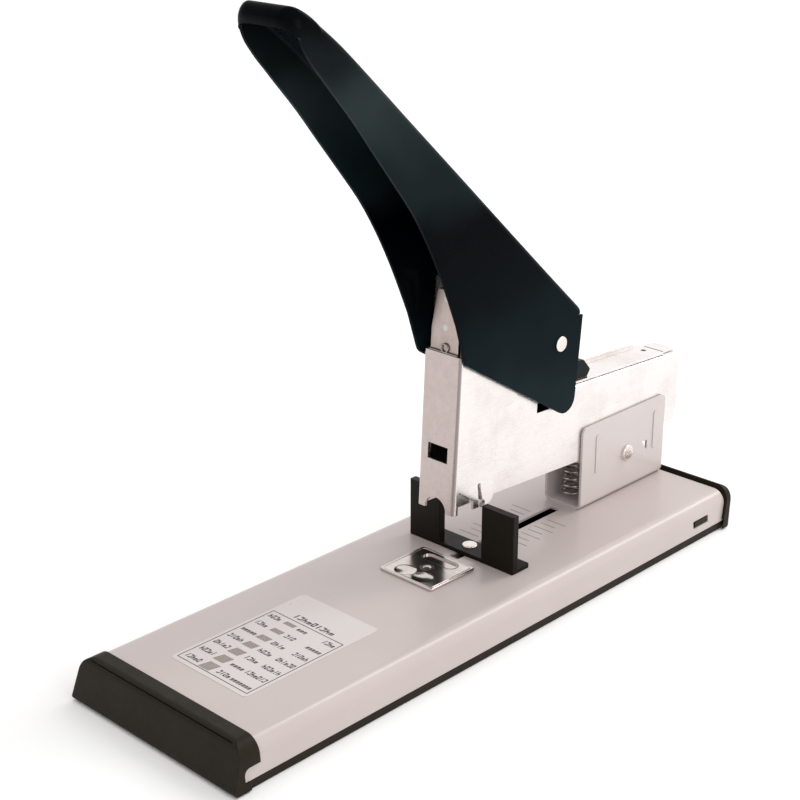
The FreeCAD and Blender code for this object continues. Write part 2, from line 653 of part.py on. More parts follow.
def magazine_housing():
    half = MAG_WIDTH / 2
    body = along_y(channel(half, MAG_TOP, EAR_LOW, MAG_SHEET, MAG_BEND), MAG_FRONT, MAG_REAR)
    ear = 7.4
    side = [
        (MAG_FRONT, MAG_BOTTOM, 0.5), (PIVOT_Y - ear - 2.2, MAG_BOTTOM, 3.0), (PIVOT_Y - ear, EAR_LOW, 4.0),
        (PIVOT_Y + ear, EAR_LOW, 4.0), (PIVOT_Y + ear + 2.2, MAG_BOTTOM, 3.0), (128.0, MAG_BOTTOM, 1.0),
        (129.0, MAG_BOTTOM + 2.4, 1.0), (MAG_REAR, MAG_BOTTOM + 2.4, 2.0), (MAG_REAR, MAG_TOP, 0.8),
        (MAG_FRONT, MAG_TOP, 0),
    ]
    body = body.common(across_x(side, -half - 1, half + 1))
    lugs = []
    for x0 in (-half, half - MAG_SHEET):
        lugs.append(across_x([(LATCH_Y - 4, MAG_TOP - 3, 0), (LATCH_Y + 4, MAG_TOP - 3, 0),
                              (LATCH_Y + 2.6, LATCH_Z + 2.2, 2.0),
                              (LATCH_Y - 2.6, LATCH_Z + 2.2, 2.0)], x0, x0 + MAG_SHEET))
        lugs.append(across_x([(NOSE_REAR - 3, MAG_TOP - 3, 0), (CHEEK_REAR, MAG_TOP - 3, 0),
                              (CHEEK_REAR, MAG_TOP + 2.7, 1.0),
                              (NOSE_REAR + 11, MAG_TOP + 8, 1.5),
                              (NOSE_REAR - 3, MAG_TOP + 8, 1.5)], x0, x0 + MAG_SHEET))
    body = joined([body] + lugs)
    cuts = [rod_x(PIVOT_R + RUN_CLEAR, -half - 1, half + 1, PIVOT_Y, PIVOT_Z)]
    cuts.append(rod_x(LATCH_PIN_R, -half - 1, half + 1, LATCH_Y, LATCH_Z))
    cuts.append(across_x([(46.7, 59.8, 0.3), (57.0, 59.8, 0.3), (57.0, 63.6, 0.3),
                          (46.7, 63.6, 0.3)], -half - 1, half + 1))
    cuts.append(block(-LATCH_NOTCH, LATCH_NOTCH, LATCH_REAR - 3.2, MAG_REAR + 1,
                      MAG_TOP - MAG_SHEET - 0.5, MAG_TOP + 1))
    return less(body, cuts)


def spring_seat():
    half = MAG_WIDTH / 2
    return up_z(rectangle(half, SPRING_Y - 8, SPRING_Y + 8, 1.0), MAG_BOTTOM - SEAT_THICK, MAG_BOTTOM)


def handle_pivot_pin():
    half = LEVER_LOW_HALF
    shank = rod_x(LEVER_PIN_R, -half - 0.05, half + 0.05, LEVER_Y, LEVER_Z)
    pieces = [shank]
    for x0 in (-half - 0.85, half + 0.05):
        head = rod_x(LEVER_HEAD_R, x0, x0 + 0.8, LEVER_Y, LEVER_Z)
        outer = half + 0.85
        rim = [edge for edge in head.Edges if abs(abs(edge.BoundBox.XMin) - outer) < 1e-6
               and abs(abs(edge.BoundBox.XMax) - outer) < 1e-6]
        pieces.append(head.makeFillet(0.3, rim))
    return joined(pieces)


def pivot_spacers():
    inner = MAG_WIDTH / 2 + NOSE_SHEET
    outer = LEVER_LOW_HALF - LEVER_SHEET - 0.1
    rings = []
    for x0, x1 in ((-outer, -inner), (inner, outer)):
        ring = rod_x(4.6, x0, x1, LEVER_Y, LEVER_Z)
        rings.append(ring.cut(rod_x(LEVER_PIN_R, x0 - 1, x1 + 1, LEVER_Y, LEVER_Z)))
    return rings


def return_spring():
    """Torsion spring around the handle's pin, its tails on the magazine and under the link."""
    wire = 0.6
    radius = LEVER_PIN_R + 1.3
    turns = 3.0
    body = coil(radius, wire, turns, turns * 1.5 + 2 * wire)
    body.rotate(V(0, 0, 0), V(0, 1, 0), 90)
    body.translate(V(-turns * 0.75 - wire, LEVER_Y, LEVER_Z))
    tail = Part.makeCylinder(wire, 17.2, V(turns * 0.75, LEVER_Y, LEVER_Z - radius), V(0, -0.35, -0.94))
    return joined([body, tail])


def wire_ring(radius, wire, centre, axis):
    return Part.makeTorus(radius, wire, centre, axis)


def nose_wire_clip():
    """Loop of spring wire in the mouth of the nose, between its front sheet and the ram."""
    y = NOSE_FRONT + NOSE_SHEET / 2
    wire = 0.28
    ring = wire_ring(1.5, wire, V(0.4, y, NOSE_TOP + 1.5 + wire), V(0, 1, 0))
    bar = rod_x(wire, -6.4, 6.4, y, NOSE_TOP + wire)
    return joined([ring, bar])


def side_hairpin():
    """Wire hairpin that hangs in the keyhole slots at the foot of the nose."""
    half = MAG_WIDTH / 2 + NOSE_SHEET + 0.3
    top = V(half, NOSE_FRONT + 13.2, NOSE_FOOT + 8.4)
    low = V(half, NOSE_FRONT + 14.9, NOSE_FOOT + 2.6)
    down = low.sub(top)
    parts = [Part.makeCylinder(0.3, down.Length, top, down), Part.makeSphere(0.3, top),
             wire_ring(1.25, 0.3, V(half, low.y + 0.1, low.z - 1.2), V(1, 0, 0))]
    one = joined(parts)
    return [one, one.mirror(V(0, 0, 0), V(1, 0, 0))]


# ---------- handle, drawn where it rests ----------

def rest_point(y, z):
    """A level-head point where it lies at rest."""
    lean = math.radians(-HEAD_TILT)
    dy, dz = y - PIVOT_Y, z - PIVOT_Z
    return (PIVOT_Y + dy * math.cos(lean) - dz * math.sin(lean),
            PIVOT_Z + dy * math.sin(lean) + dz * math.cos(lean))


def lever_outline():
    """Side view of the handle: foot, straight back, closed tip and curved front edges."""
    y, z = LEVER_FORM
    return [
        (y - 52.8, z + 4.4, 2.5), (y - 26.0, z - 12.1, 0), (y + 8.3, z - 32.4, 5.5),
        (y + 10.6, z + 8.6, 1.6), (y + 7.7, z + 12.3, 1.6), (y - 65.9, z + 79.1, 0),
        (y - 113.4, z + 122.1, 30.0), (y - 122.0, z + 128.6, 12.0), (LEVER_TIP_Y, LEVER_TIP_Z, 3.2),
        (LEVER_TIP_Y + 6.5, LEVER_TIP_Z - 13.0, 1.5), (y - 115.7, z + 107.4, 6.0),
        (y - 86.4, z + 70.2, 40.0), (y - 63.4, z + 32.9, 60.0),
    ]


def lever_hollow():
    """Side view of the space inside the handle, open at its foot and along its front."""
    y, z = LEVER_FORM
    step = LEVER_SHEET * 0.72
    return [
        (y - 95.0, z - 45.0, 0), (y + 20.0, z - 45.0, 0), (y + 20.0, z + 8.0, 0), (y + 8.6, z + 8.0, 0),
        (y + 7.7 - step, z + 12.3 - step, 0.8), (y - 65.9 - step, z + 79.1 - step, 0),
        (y - 113.4 - step, z + 122.1 - step, 0), (y - 122.0 - step, z + 128.6 - LEVER_SHEET, 0),
        (LEVER_TIP_Y + 3.4, LEVER_TIP_Z - 3.4, 1.5), (LEVER_TIP_Y + 8.6, LEVER_TIP_Z - 14.0, 0),
        (LEVER_TIP_Y - 20.0, LEVER_TIP_Z - 30.0, 0),
    ]


def lever_front(inset):
    """Front view of the handle: its walls spread towards the tip."""
    low, high = LEVER_LOW_HALF - inset, LEVER_TIP_HALF - inset
    return [(-low, 40, 0), (low, 40, 0), (low, 95, 0), (high, LEVER_TIP_Z + 1, 0),
            (-high, LEVER_TIP_Z + 1, 0), (-low, 95, 0)]


def handle_lever():
    reach = LEVER_TIP_HALF + 2
    outer = across_x(lever_outline(), -reach, reach)
    outer = outer.common(along_y(lever_front(0.0), LEVER_TIP_Y - 5, 90))
    hollow = across_x(lever_hollow(), -reach, reach)
    hollow = hollow.common(along_y(lever_front(LEVER_SHEET), LEVER_TIP_Y - 30, 90))
    y, z = rest_point(LEVER_Y, LEVER_Z)
    return less(outer, [hollow, rod_x(LEVER_PIN_R + RUN_CLEAR, -20, 20, y, z)])


def link_end():
    """Where the link pin rests in the level head."""
    lean = math.radians(LINK_ANGLE)
    return (LEVER_Y - LINK_ARM * math.cos(lean), LEVER_Z + LINK_ARM * math.sin(lean))


def handle_link():
    """Folded link under the handle's back, from its pivot to the ram's pin."""
    end_y, end_z = link_end()
    lean = math.radians(LINK_ANGLE)
    side_y, side_z = math.sin(lean), math.cos(lean)
    wide = 4.0
    corners = []
    for y, z, sign in ((LEVER_Y, LEVER_Z, 1), (end_y, end_z, 1), (end_y, end_z, -1), (LEVER_Y, LEVER_Z, -1)):
        over = 4.0 if y > end_y else -3.2
        corners.append((y + sign * side_y * wide + over * math.cos(lean),
                        z + sign * side_z * wide - over * math.sin(lean), 2.6))
    plate = across_x(corners, -LINK_HALF, LINK_HALF)
    gap = across_x([(y, z, 0) for y, z, r in corners], -LINK_HALF + LINK_SHEET, LINK_HALF - LINK_SHEET)
    gap.translate(V(0, -side_y * LINK_SHEET, -side_z * LINK_SHEET))
    trim = across_x([(end_y - 8, end_z - 12, 0), (end_y + 4, end_z - 12, 0), (end_y + 4, end_z + 12, 0),
                     (end_y - 8, end_z + 12, 0)],
                    -LINK_HALF + LINK_SHEET, LINK_HALF - LINK_SHEET)
    back = across_x([(LEVER_Y - 8, LEVER_Z - 12, 0), (LEVER_Y + 12, LEVER_Z - 12, 0),
                     (LEVER_Y + 12, LEVER_Z + 14, 0),
                     (LEVER_Y - 8, LEVER_Z + 14, 0)], -LINK_HALF + LINK_SHEET, LINK_HALF - LINK_SHEET)
    body = less(plate, [gap, trim, back])
    body = body.cut(rod_x(LEVER_PIN_R + RUN_CLEAR, -20, 20, LEVER_Y, LEVER_Z))
    return body.cut(rod_x(LINK_PIN_R, -20, 20, end_y, end_z))


def link_pin():
    end_y, end_z = link_end()
    return rod_x(LINK_PIN_R, -RAM_HALF + 0.2, RAM_HALF - 0.2, end_y, end_z)


# ---------- ram ----------

def ram_channel():
    inner = RAM_HALF - RAM_SHEET
    back = RAM_FRONT + RAM_DEPTH
    plan = [
        (-RAM_HALF, back, 0), (-RAM_HALF, RAM_FRONT, 1.4), (RAM_HALF, RAM_FRONT, 1.4), (RAM_HALF, back, 0),
        (inner, back, 0), (inner, RAM_FRONT + RAM_SHEET, 0.4), (-inner, RAM_FRONT + RAM_SHEET, 0.4),
        (-inner, back, 0),
    ]
    body = up_z(plan, RAM_Z[0], RAM_Z[1])
    end_y, end_z = link_end()
    nearest = LEVER_Y - LINK_ARM
    half = LINK_PIN_R + 0.25
    slot = [(nearest - half, end_z - half, half - 0.01), (end_y + half, end_z - half, half - 0.01),
            (end_y + half, end_z + half, half - 0.01), (nearest - half, end_z + half, half - 0.01)]
    cuts = [across_x(slot, -RAM_HALF - 1, RAM_HALF + 1)]
    for z in BLADE_RIVET_Z:
        cuts.append(rod_y(1.2, RAM_FRONT - 1, RAM_FRONT + 3, 0, z))
    return less(body, cuts)


def driver_blade():
    blade = block(-BLADE_HALF, BLADE_HALF, BLADE_Y[0], RAM_FRONT, BLADE_Z[0], BLADE_Z[1])
    taper = [(-BLADE_HALF - 1, BLADE_Z[1] - 14, 0), (-BLADE_HALF, BLADE_Z[1] - 14, 0),
             (-BLADE_HALF + 2.4, BLADE_Z[1] + 1, 0),
             (-BLADE_HALF - 1, BLADE_Z[1] + 1, 0)]
    shave = along_y(taper, BLADE_Y[0] - 1, RAM_FRONT + 1)
    cuts = [shave, shave.mirror(V(0, 0, 0), V(1, 0, 0))]
    for z in BLADE_RIVET_Z:
        cuts.append(rod_y(1.2, BLADE_Y[0] - 1, RAM_FRONT + 1, 0, z))
    return less(blade, cuts)


def blade_rivets():
    rivets = []
    back = RAM_FRONT + RAM_SHEET
    for z in BLADE_RIVET_Z:
        rivets.append(joined([rod_y(1.2, BLADE_Y[0], back, 0, z), rod_y(2.0, back, back + 0.8, 0, z)]))
    return rivets


# ---------- staple rail and pusher ----------

def staple_rail():
    section = channel(RAIL_HALF, RAIL_TOP, RAIL_BOTTOM, RAIL_SHEET, 1.2)
    body = along_y(section, RAIL_FRONT, BLOCK_Y[1] - 1.0)
    front = across_x([(RAIL_FRONT - 1, RAIL_BOTTOM - 1, 0), (RAIL_FRONT + 1.6, RAIL_BOTTOM - 1, 0),
                      (RAIL_FRONT, RAIL_BOTTOM + 3, 0),
                      (RAIL_FRONT - 1, RAIL_BOTTOM + 3, 0)], -RAIL_HALF - 1, RAIL_HALF + 1)
    return less(body, rail_rivets() + [front])


def rail_end_block():
    """Solid end of the rail: a core inside the rail, cheeks outside it and a stop on top."""
    y0, y1 = BLOCK_Y
    core_half = RAIL_HALF - RAIL_SHEET
    core_top = RAIL_TOP - RAIL_SHEET
    core = along_y([(-core_half, RAIL_BOTTOM + 1.6, 0), (core_half, RAIL_BOTTOM + 1.6, 0),
                    (core_half, core_top, 0.4), (-core_half, core_top, 0.4)], y0, y1)
    neck = block(-BLOCK_HALF + 1.0, BLOCK_HALF - 1.0, y0, y1, RAIL_TOP, BLOCK_NECK_TOP)
    stop_top = MAG_TOP + LATCH_LIFT_GAP + LATCH_SHEET
    stop = up_z(rectangle(LATCH_NOTCH - 0.3, BLOCK_STOP_Y, y1, 0.4), RAIL_TOP, stop_top)
    plate = block(-BLOCK_HALF, BLOCK_HALF, y1 - 1.0, y1, RAIL_BOTTOM + 1.6, BLOCK_TOP)
    socket = block(-2.6, 2.6, y0, y0 + 3.0, RAIL_TOP, BLOCK_TOP)
    body = joined([core, neck, stop, plate, socket])
    return less(body, rail_rivets() + [rod_y(ROD_R, y0 - 1, y0 + 2.0, 0, ROD_Z)])


def rail_rivets():
    """Pins that hold the end block in the rail."""
    foot_z = RAIL_TOP - RAIL_SHEET - 4
    return [rod_z(1.0, foot_z, BLOCK_NECK_TOP, 3.0, y) for y in (BLOCK_Y[0] + 4, BLOCK_STOP_Y - 1.6)]


def spring_rod():
    return rod_y(ROD_R, RAIL_FRONT + 1.0, BLOCK_Y[0] + 2.0, 0, ROD_Z)


def staple_pusher():
    y0 = RAIL_FRONT + 0.6
    y1 = y0 + PUSHER_LENGTH
    inner = RAIL_HALF + PUSHER_GAP
    outer = inner + PUSHER_SKIRT
    section = channel(outer, PUSHER_TOP, PUSHER_BOTTOM, PUSHER_SKIRT, 1.0)
    body = along_y(section, y0, y1)
    web = block(-2.4, 2.4, y0, y0 + 5.0, RAIL_TOP + PUSHER_GAP, PUSHER_TOP - 0.5)
    ledge = block(-outer + 0.4, outer - 0.4, y0, y1, RAIL_TOP + PUSHER_GAP, RAIL_TOP + PUSHER_GAP + 0.3)
    body = joined([body, web, ledge])
    return body.cut(rod_y(ROD_R + 0.08, y0 - 1, y1 + 1, 0, ROD_Z))


def pusher_spring():
    y0 = RAIL_FRONT + 0.6 + 5.0 + 0.1
    length = BLOCK_Y[0] - y0 - 0.1
    spring = coil(COIL_R - COIL_WIRE / 2, COIL_WIRE / 2, COIL_TURNS, length)
    spring.rotate(V(0, 0, 0), V(1, 0, 0), -90)
    spring.translate(V(0, y0, ROD_Z))
    return spring


# ---------- latch ----------

def latch_bar():
    low = MAG_TOP + LATCH_LIFT_GAP
    strip = up_z([(-6.7, LATCH_Y - 1.4, 0), (6.0, LATCH_Y - 1.4, 0), (6.0, LATCH_REAR, 0.8),
                  (-6.7, LATCH_REAR, 0.8)],
                 low, low + LATCH_SHEET)
    curb = block(-7.1, -6.2, LATCH_Y + 8, LATCH_REAR - 4, low, low + 2.0)
    hook = block(-4.8, 4.8, LATCH_REAR - 1.4, LATCH_REAR, MAG_TOP - MAG_SHEET, low + 0.2)
    eye = rod_x(2.1, -6.2, 6.0, LATCH_Y, LATCH_Z)
    web = block(-6.2, 6.0, LATCH_Y, LATCH_Y + 2.1, low, LATCH_Z)
    body = joined([strip, curb, hook, eye, web])
    cuts = [rod_x(LATCH_PIN_R + RUN_CLEAR, -9, 9, LATCH_Y, LATCH_Z)]
    cuts.append(rod_z(1.1, low - 1, low + 3, -1.0, LATCH_REAR - 4.4))
    cuts.append(block(-LATCH_COIL_HALF - 0.3, LATCH_COIL_HALF + 0.3, LATCH_Y - 4, LATCH_Y + 2.5, low - 1,
                      LATCH_Z + 4))
    return less(body, cuts)


def latch_knob():
    low = MAG_TOP + LATCH_LIFT_GAP + LATCH_SHEET
    y, z = LATCH_Y + 5.0, low
    side = [(y, z, 0.4), (y, z + 5.4, 0.8), (y + 2.4, z + 7.2, 1.0), (y + 7.6, z + 7.2, 1.0),
            (y + 12.2, z + 2.6, 0.8), (y + 10.4, z, 0.4)]
    return across_x(side, -KNOB_HALF, KNOB_HALF)


def latch_pin():
    half = MAG_WIDTH / 2 + 0.6
    return rod_x(LATCH_PIN_R, -half, half, LATCH_Y, LATCH_Z)


def latch_spring():
    """Torsion spring round the latch pin, with one leg on the magazine and one on the latch bar."""
    body = coil(LATCH_COIL_R, LATCH_WIRE_R, 3.5, 2 * LATCH_COIL_HALF)
    body.rotate(V(0, 0, 0), V(0, 1, 0), 90)
    body.translate(V(-LATCH_COIL_HALF, LATCH_Y, LATCH_Z))
    reach = LATCH_COIL_HALF - LATCH_WIRE_R
    front = V(-reach, LATCH_Y - 4.5, MAG_TOP + LATCH_WIRE_R)
    front_leg = leg(V(-reach, LATCH_Y, LATCH_Z - LATCH_COIL_R), front, LATCH_WIRE_R)
    rear = V(reach, LATCH_Y + 4.0, MAG_TOP + LATCH_LIFT_GAP + LATCH_SHEET + 0.6)
    rear_leg = leg(V(reach, LATCH_Y, LATCH_Z + LATCH_COIL_R), rear, LATCH_WIRE_R)
    return joined([body, front_leg, rear_leg])


# ---------- writing ----------

write("base_cover", [base_cover()])
write("label_sticker", [label_sticker()])
write("front_end_cap", [front_end_cap()])
write("rear_end_cap", [rear_end_cap()])
write("base_tray", [base_tray()])
write("rubber_feet", rubber_feet())
write("base_screws", base_screws())
write("anvil_plate", [anvil_plate()])
write("anvil_pin", [anvil_pin()])
write("anvil_washer", [anvil_washer()])
write("paper_guide", [paper_guide()])
write("guide_rivet", [guide_rivet()])
write("guide_slider", [guide_slider()])
write("support_bracket", [support_bracket()])
write("bracket_rivets", bracket_rivets())
write("head_pivot_bolt", [head_pivot_bolt()])
write("lift_spring", [lift_spring()])
write("nose_housing", [leaned(nose_housing())])
write("magazine_housing", [leaned(magazine_housing())])
write("spring_seat", [leaned(spring_seat())])
write("handle_pivot_pin", [leaned(handle_pivot_pin())])
write("pivot_spacers", [leaned(ring) for ring in pivot_spacers()])
write("return_spring", [leaned(return_spring())])
write("nose_wire_clip", [leaned(nose_wire_clip())])
write("side_hairpins", [leaned(pin) for pin in side_hairpin()])
write("handle_lever", [handle_lever()])
write("handle_link", [leaned(handle_link())])
write("link_pin", [leaned(link_pin())])
write("ram_channel", [leaned(ram_channel())])
write("driver_blade", [leaned(driver_blade())])
write("blade_rivets", [leaned(rivet) for rivet in blade_rivets()])
write("staple_rail", [leaned(staple_rail())])
write("rail_end_block", [leaned(rail_end_block())])
write("rail_rivets", [leaned(pin) for pin in rail_rivets()])
write("spring_rod", [leaned(spring_rod())])
write("staple_pusher", [leaned(staple_pusher())])
write("pusher_spring", [leaned(pusher_spring())])
write("latch_bar", [leaned(latch_bar())])
write("latch_knob", [leaned(latch_knob())])
write("latch_pin", [leaned(latch_pin())])
write("latch_spring", [leaned(latch_spring())])
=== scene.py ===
import math
import bmesh
import bpy
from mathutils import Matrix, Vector
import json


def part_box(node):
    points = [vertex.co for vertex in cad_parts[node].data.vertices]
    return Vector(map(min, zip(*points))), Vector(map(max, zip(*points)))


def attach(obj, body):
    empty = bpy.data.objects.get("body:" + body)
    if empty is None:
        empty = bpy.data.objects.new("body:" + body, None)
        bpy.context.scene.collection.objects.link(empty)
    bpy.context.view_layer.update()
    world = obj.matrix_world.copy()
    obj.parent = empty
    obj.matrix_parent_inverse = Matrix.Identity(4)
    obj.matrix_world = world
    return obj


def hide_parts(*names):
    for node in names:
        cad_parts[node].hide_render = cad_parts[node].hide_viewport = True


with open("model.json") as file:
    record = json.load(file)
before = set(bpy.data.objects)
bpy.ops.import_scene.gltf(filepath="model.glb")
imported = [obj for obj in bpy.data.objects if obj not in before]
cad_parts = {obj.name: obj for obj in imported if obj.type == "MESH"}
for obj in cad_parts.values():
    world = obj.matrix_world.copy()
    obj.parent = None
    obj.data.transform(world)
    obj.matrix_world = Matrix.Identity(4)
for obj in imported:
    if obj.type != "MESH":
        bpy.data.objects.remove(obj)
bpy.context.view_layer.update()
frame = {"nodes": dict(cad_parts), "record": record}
nodes = frame["nodes"]
MM = 0.001


# ---------- node helpers ----------

class Shader:
    """Builds one material's nodes, in object coordinates."""

    def __init__(self, name):
        self.mat = bpy.data.materials.new(name)
        self.mat.use_nodes = True
        self.tree = self.mat.node_tree
        self.tree.nodes.clear()
        self.out = self.new("ShaderNodeOutputMaterial")
        self.bsdf = self.new("ShaderNodeBsdfPrincipled")
        self.link(self.bsdf.outputs[0], self.out.inputs[0])
        self.coords = self.new("ShaderNodeTexCoord").outputs["Object"]

    def new(self, kind, **values):
        node = self.tree.nodes.new(kind)
        for key, value in values.items():
            setattr(node, key, value)
        return node

    def link(self, a, b):
        self.tree.links.new(a, b)

    def put(self, **values):
        for key, value in values.items():
            self.bsdf.inputs[key.replace("_", " ")].default_value = value

    def stretched(self, scale):
        """Object coordinates, scaled along each axis, per metre."""
        node = self.new("ShaderNodeMapping")
        node.inputs["Scale"].default_value = scale
        self.link(self.coords, node.inputs["Vector"])
        return node.outputs[0]

    def noise(self, scale, detail=3.0, rough=0.5, where=None):
        node = self.new("ShaderNodeTexNoise")
        node.inputs["Scale"].default_value = scale
        node.inputs["Detail"].default_value = detail
        node.inputs["Roughness"].default_value = rough
        self.link(where or self.coords, node.inputs["Vector"])
        return node.outputs["Fac"]

    def span(self, value, low, high, from_low=0.3, from_high=0.7):
        """The value, carried from one range to another and clamped there."""
        node = self.new("ShaderNodeMapRange")
        limits = (("From Min", from_low), ("From Max", from_high), ("To Min", low), ("To Max", high))
        for key, number in limits:
            node.inputs[key].default_value = number
        self.link(value, node.inputs["Value"])
        return node.outputs["Result"]

    def mix(self, factor, a, b):
        """Blend of two colours, each a socket or a tuple."""
        node = self.new("ShaderNodeMix", data_type="RGBA")
        for socket, value in ((node.inputs[0], factor), (node.inputs[6], a), (node.inputs[7], b)):
            if isinstance(value, (int, float)):
                socket.default_value = value
            elif isinstance(value, (tuple, list)):
                socket.default_value = (*value, 1.0)
            else:
                self.link(value, socket)
        return node.outputs[2]

    def math(self, operation, a, b=0.0):
        node = self.new("ShaderNodeMath", operation=operation)
        for socket, value in zip(node.inputs, (a, b)):
            if isinstance(value, (int, float)):
                socket.default_value = value
            else:
                self.link(value, socket)
        return node.outputs[0]

    def axis(self, name):
        node = self.new("ShaderNodeSeparateXYZ")
        self.link(self.coords, node.inputs[0])
        return node.outputs[name]

    def bump(self, heights, soften=0.25 * MM):
        """Bumps given as (height socket, depth in metres), over edges softened by a small radius."""
        normal = None
        if soften:
            round_edges = self.new("ShaderNodeBevel", samples=6)
            round_edges.inputs["Radius"].default_value = soften
            normal = round_edges.outputs[0]
        for height, depth in heights:
            node = self.new("ShaderNodeBump")
            node.inputs["Strength"].default_value = 1.0
            node.inputs["Distance"].default_value = depth
            self.link(height, node.inputs["Height"])
            if normal:
                self.link(normal, node.inputs["Normal"])
            normal = node.outputs[0]
        self.link(normal, self.bsdf.inputs["Normal"])

    def colour(self, socket):
        self.link(socket, self.bsdf.inputs["Base Color"])

    def rough(self, socket):
        self.link(socket, self.bsdf.inputs["Roughness"])


def paint(name, colour, shade, roughness, coat, coat_rough, specular, peel=0.004 * MM, soften=0.3 * MM):
    """Sprayed paint: faint cloudiness, dust specks and orange peel."""
    s = Shader(name)
    cloud = s.noise(25, 2)
    speck = s.noise(2600, 1)
    tone = s.mix(s.span(cloud, 0, 1), colour, shade)
    dust = s.span(speck, 0, 0.25, 0.66, 0.8)
    s.colour(s.mix(dust, tone, tuple(min(1.0, c * 1.25 + 0.01) for c in colour)))
    smear = s.noise(70, 4, 0.6)
    s.rough(s.span(smear, roughness - 0.04, roughness + 0.05))
    s.put(Coat_Weight=coat, Coat_Roughness=coat_rough, Specular_IOR_Level=specular)
    s.bump([(s.noise(900, 2), peel), (s.noise(150, 1), peel * 2)], soften)
    return s.mat


RAMP_TOP = 230.0            # height at which the handle's painted reflection ramp ends, in millimetres


def enamel(name, reflection_tones, roughness, coat, specular):
    """Dark glossy enamel with a painted reflection: darker and lighter bands along the handle from its heel
    to its tip.
    """
    s = Shader(name)
    # The colour ramp paints reflections as bands by height, blurred a little by noise.
    along = s.math("ADD", s.axis("Z"), s.span(s.noise(22, 2), -0.012, 0.012))
    ramp = s.new("ShaderNodeValToRGB")
    bands = ramp.color_ramp
    bands.interpolation = "EASE"
    while len(bands.elements) < len(reflection_tones):
        bands.elements.new(0.5)
    for element, (height, tone) in zip(bands.elements, reflection_tones):
        element.position = height / RAMP_TOP
        element.color = (*tone, 1.0)
    s.link(s.math("DIVIDE", along, RAMP_TOP * MM), ramp.inputs[0])
    speck = s.noise(2600, 1)
    s.colour(s.mix(s.span(speck, 0, 0.3, 0.66, 0.8), ramp.outputs[0], (0.02, 0.026, 0.03)))
    smear = s.noise(70, 4, 0.6)
    s.rough(s.span(smear, roughness - 0.03, roughness + 0.05))
    s.put(Coat_Weight=coat, Coat_Roughness=0.06, Specular_IOR_Level=specular)
    s.bump([(s.noise(900, 2), 0.002 * MM), (s.noise(150, 1), 0.006 * MM)], 0.25 * MM)
    return s.mat


def moulded(name, colour, shade, roughness, grain=0.012 * MM, specular=0.4):
    """Moulded plastic with a fine spark-eroded grain."""
    s = Shader(name)
    grain_field = s.noise(2200, 4, 0.65)
    tone = s.mix(s.span(s.noise(40, 3), 0, 1), colour, shade)
    light = tuple(c * 1.6 + 0.002 for c in colour)
    s.colour(s.mix(s.span(grain_field, 0, 0.55, 0.5, 0.75), tone, light))
    s.rough(s.span(s.noise(300, 3), roughness - 0.06, roughness + 0.06))
    s.put(Specular_IOR_Level=specular)
    s.bump([(grain_field, grain)], 0.35 * MM)
    return s.mat


MOTTLE, BEND_SHADE = 0.88, 0.35       # shares of the painted front reflection tone: in its random patches, and in the painted shade along its bends


def scaled(colour, share):
    """A darker version of a colour."""
    return tuple(c * share for c in colour)


def metal(name, colour, shade, roughness, lay=(40, 2500, 2500), front_reflection_tone=None):
    """Plated or ground metal: fine lines along its lay, faint waves, a few darker stains.
    The tone given for its front faces is a painted reflection; along their bends to the right a painted
    shade darkens it further."""
    s = Shader(name)
    lines = s.noise(1.0, 3, 0.6, s.stretched(lay))
    stain = s.noise(60, 4, 0.6)
    tone = s.mix(s.span(stain, 0, 1, 0.45, 0.75), colour, shade)
    tone = s.mix(s.span(lines, 0, 0.35), tone, shade)
    # Painted reflection: faces turned to the front take a darker, patchy tone.
    if front_reflection_tone:
        facing = s.new("ShaderNodeSeparateXYZ")
        s.link(s.new("ShaderNodeTexCoord").outputs["Normal"], facing.inputs[0])
        ahead = s.math("MULTIPLY", facing.outputs["Y"], -1.0)
        mottle = s.mix(s.span(s.noise(350, 4, 0.7), 0, 1), front_reflection_tone, scaled(front_reflection_tone, MOTTLE))
        tone = s.mix(s.span(ahead, 0, 1, 0.35, 0.8), tone, mottle)
        # Painted shade along the bends between the front faces and the right side.
        bend = s.math("MULTIPLY", ahead, facing.outputs["X"])
        tone = s.mix(s.span(bend, 0, 0.75, 0.22, 0.42), tone, scaled(front_reflection_tone, BEND_SHADE))
    s.colour(tone)
    s.rough(s.math("ADD", s.span(lines, roughness - 0.03, roughness + 0.03), s.span(stain, 0, 0.05)))
    s.put(Metallic=1.0)
    s.bump([(lines, 0.0012 * MM), (s.noise(45, 1), 0.006 * MM)], 0.12 * MM)
    return s.mat


HANDLE_REFLECTION_TONES = (            # painted reflection bands on the handle: height in millimetres, colour
    (60, (0.010, 0.018, 0.021)),
    (90, (0.0045, 0.0095, 0.012)),
    (115, (0.0012, 0.0028, 0.004)),
    (142, (0.0006, 0.0010, 0.0018)),
    (165, (0.0070, 0.0125, 0.0135)),
    (188, (0.0200, 0.0290, 0.0310)),
    (207, (0.0060, 0.0090, 0.0100)),
    (220, (0.0010, 0.0018, 0.002)),
)

